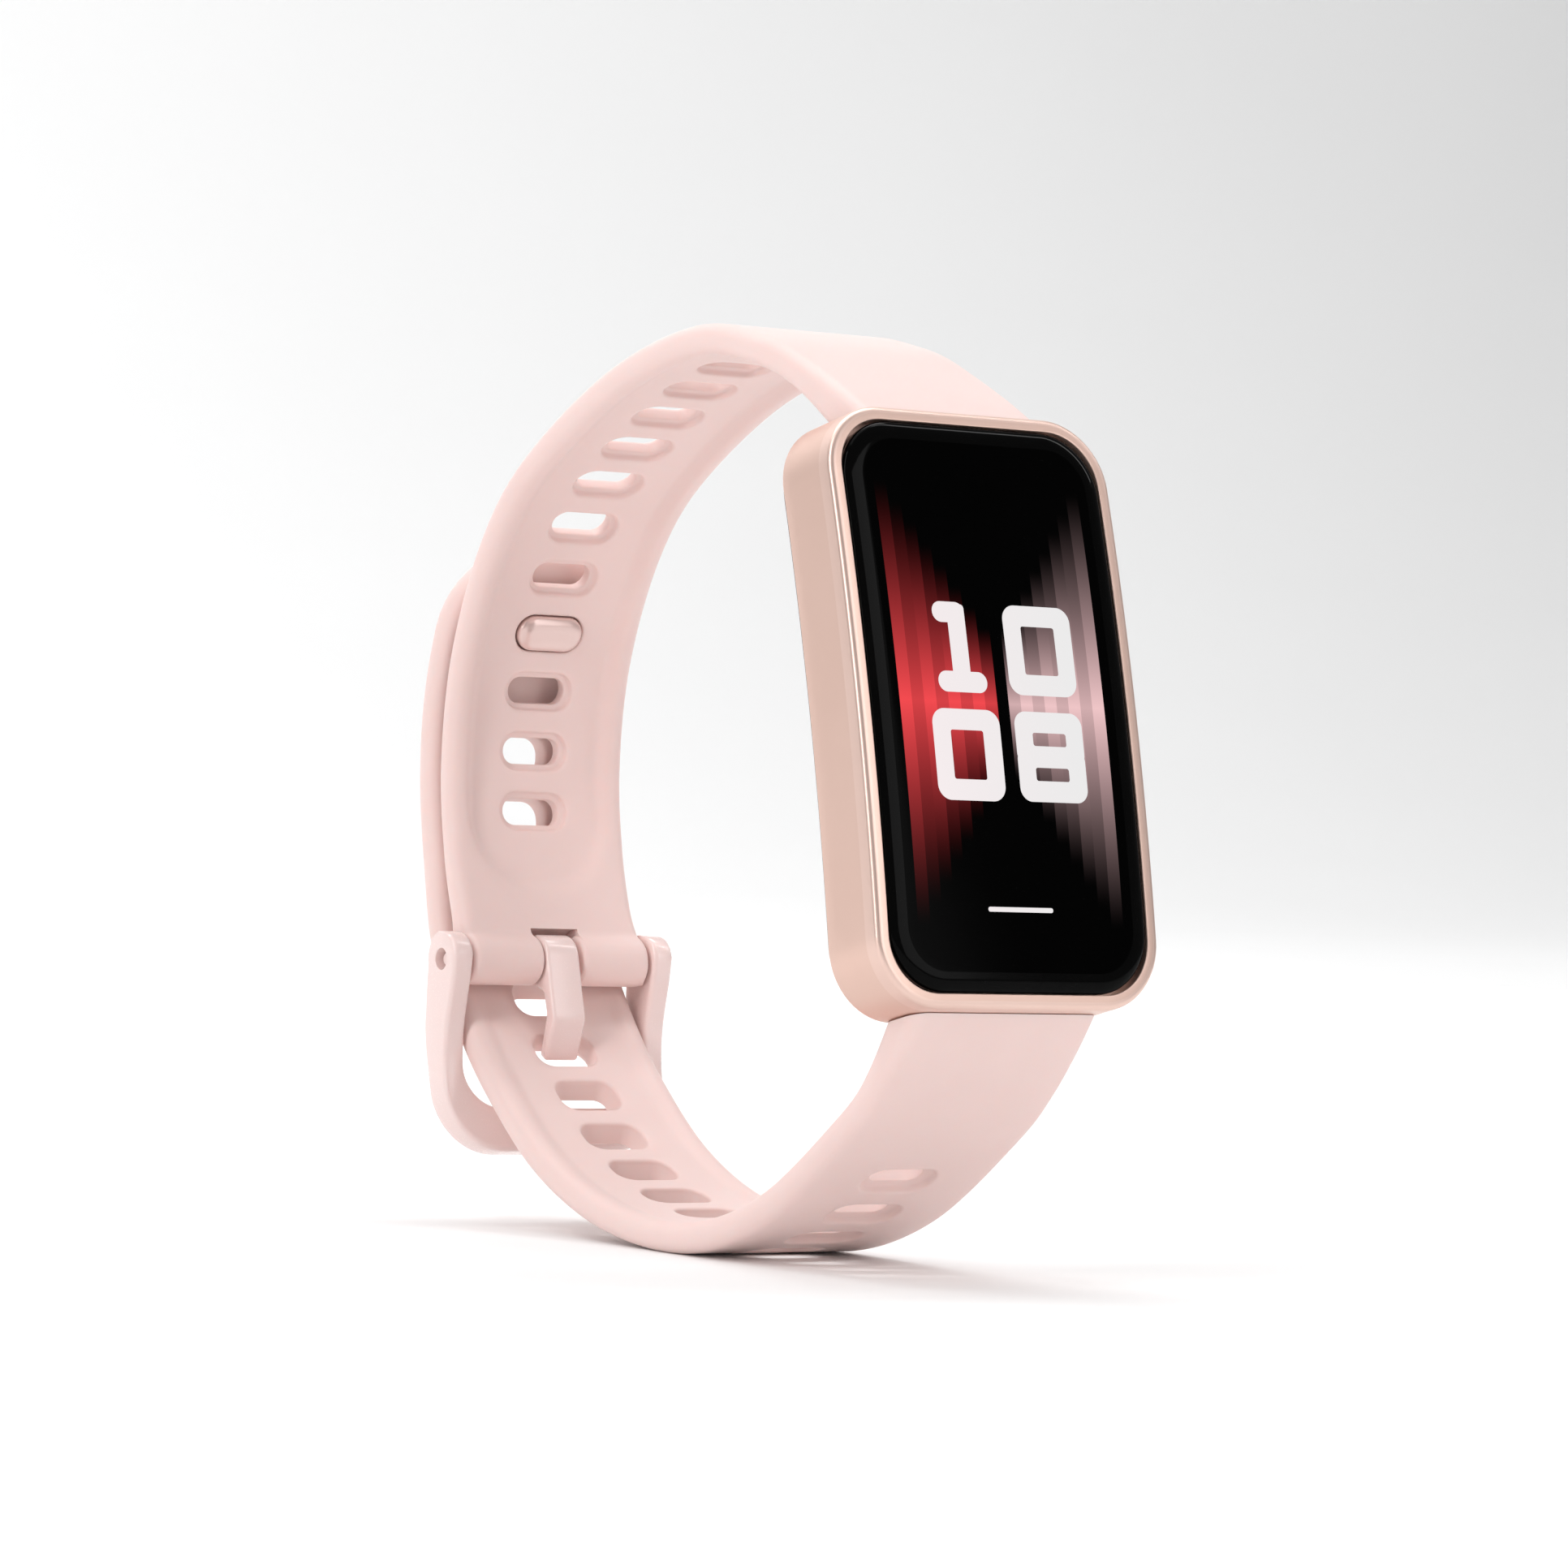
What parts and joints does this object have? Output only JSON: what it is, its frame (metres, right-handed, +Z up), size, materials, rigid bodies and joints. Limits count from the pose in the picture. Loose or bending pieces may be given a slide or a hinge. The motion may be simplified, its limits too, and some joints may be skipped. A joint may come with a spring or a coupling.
{
  "type": "fitness tracker band",
  "caption": "Slim rectangular touch-screen tracker case on a two-piece elastomer strap, closed in a loop by a tongue buckle and a snap stud.",
  "frame": {"origin": "centre of the footprint, on the surface that the closed loop stands on", "axes": "+X across the strap, to the right seen from the screen; +Y from the screen towards the buckle; +Z up. The case leans back 13.5 degrees."},
  "size_m": [0.0248, 0.0698, 0.068],
  "materials": {
    "rose_metal": "satin rose-gold, matt sides with a polished front edge",
    "black_glass": "gloss black, edges rounded",
    "screen_black": "dark display panel",
    "soft_black": "fine matt moulding",
    "seal_grey": "matt seal",
    "board_green": "solder mask",
    "battery_foil": "laminated foil pouch",
    "steel": "satin steel",
    "gold": "gold plated",
    "chip_clear": "clear moulded chip",
    "flex_amber": "polyimide film",
    "strap_pink": "soft matt elastomer",
    "gloss_pink": "satin to gloss moulding"
  },
  "bodies": {
    "case": {"mid_frame": "rose_metal", "cover_glass": "black_glass", "glass_gasket": "seal_grey", "display_panel": "screen_black", "display_flex": "flex_amber", "back_cover": "soft_black", "back_seal": "seal_grey", "charging_contact_left": "gold", "charging_contact_right": "gold", "sensor_window": "black_glass", "sensor_board": "board_green", "sensor_led": "chip_clear", "sensor_photodiode_left": "chip_clear", "sensor_photodiode_right": "chip_clear", "chassis": "soft_black", "battery": "battery_foil", "battery_pad": "seal_grey", "main_board": "board_green", "board_shield": "steel", "board_screw_left": "steel", "board_screw_right": "steel", "vibration_motor": "steel", "button_seal": "seal_grey", "button_switch": "steel", "upper_strap": "strap_pink", "upper_strap_link": "steel", "lower_strap": "strap_pink", "lower_strap_link": "steel", "buckle_pin": "steel"},
    "side_button": {"side_button": "rose_metal"},
    "upper_latch": {"upper_release_latch": "gloss_pink"},
    "lower_latch": {"lower_release_latch": "gloss_pink"},
    "buckle_frame": {"buckle_frame": "gloss_pink"},
    "buckle_tongue": {"buckle_tongue": "gloss_pink"},
    "tail": {"tail_section": "strap_pink", "tail_stud": "gloss_pink"}
  },
  "joints": [
    {"name": "button_press", "type": "slide", "parent": "case", "child": "side_button", "axis": [-1, 0, 0], "range_m": [0, 0.00035], "stiffness_N_per_m": 1500, "springref_m": -0.0003},
    {"name": "upper_latch_press", "type": "slide", "parent": "case", "child": "upper_latch", "axis": [0, -0.4743, 0.8804], "range_m": [0, 0.0003], "stiffness_N_per_m": 1500, "springref_m": -0.0003},
    {"name": "lower_latch_press", "type": "slide", "parent": "case", "child": "lower_latch", "axis": [0, -0.808, -0.5892], "range_m": [0, 0.0003], "stiffness_N_per_m": 1500, "springref_m": -0.0003},
    {"name": "frame_swing", "type": "hinge", "parent": "case", "child": "buckle_frame", "pos_m": [-0.00022, 0.02658, 0.02016], "axis": [1, 0, 0], "range_deg": [0, 110]},
    {"name": "tongue_swing", "type": "hinge", "parent": "case", "child": "buckle_tongue", "pos_m": [-0.00022, 0.02658, 0.02016], "axis": [-1, 0, 0], "range_deg": [0, 85]},
    {"name": "tail_peel", "type": "hinge", "parent": "case", "child": "tail", "pos_m": [-0.00022, 0.03469, 0.03237], "axis": [-1, 0, 0], "range_deg": [0, 35], "stiffness_Nm_per_rad": 0.02, "springref_deg": -5.73}
  ]
}
